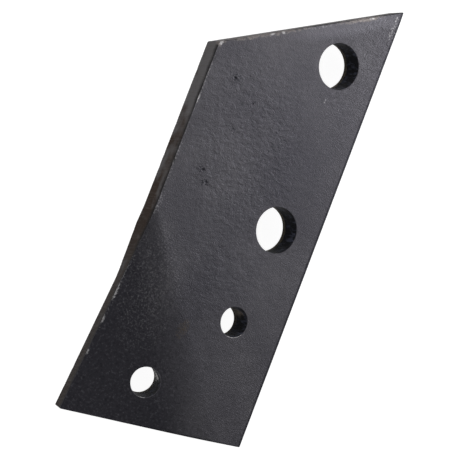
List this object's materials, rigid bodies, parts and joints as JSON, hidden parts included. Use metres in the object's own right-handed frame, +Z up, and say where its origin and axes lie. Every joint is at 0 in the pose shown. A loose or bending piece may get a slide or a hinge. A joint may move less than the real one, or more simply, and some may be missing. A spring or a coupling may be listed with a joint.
{
  "type": "plough point",
  "caption": "Plough point: a slanting flat steel bar with plain bolt holes and one corner bent back, bolted to the tip of a plough body to cut and lift the soil.",
  "frame": {"origin": "on the surface that the part lies on, under the middle of its box", "axes": "+Z up as it lies on its back; +Y along the bar towards its slanting upper end; +X towards its long straight edge, with the bent corner at -X, -Y"},
  "size_m": [0.082, 0.2148, 0.0243],
  "materials": {
    "steel": "thin dark grey coat over rolled steel, semi-gloss, worn at the cut edges"
  },
  "bodies": {
    "root": {"plough_point": "steel"}
  },
  "joints": []
}
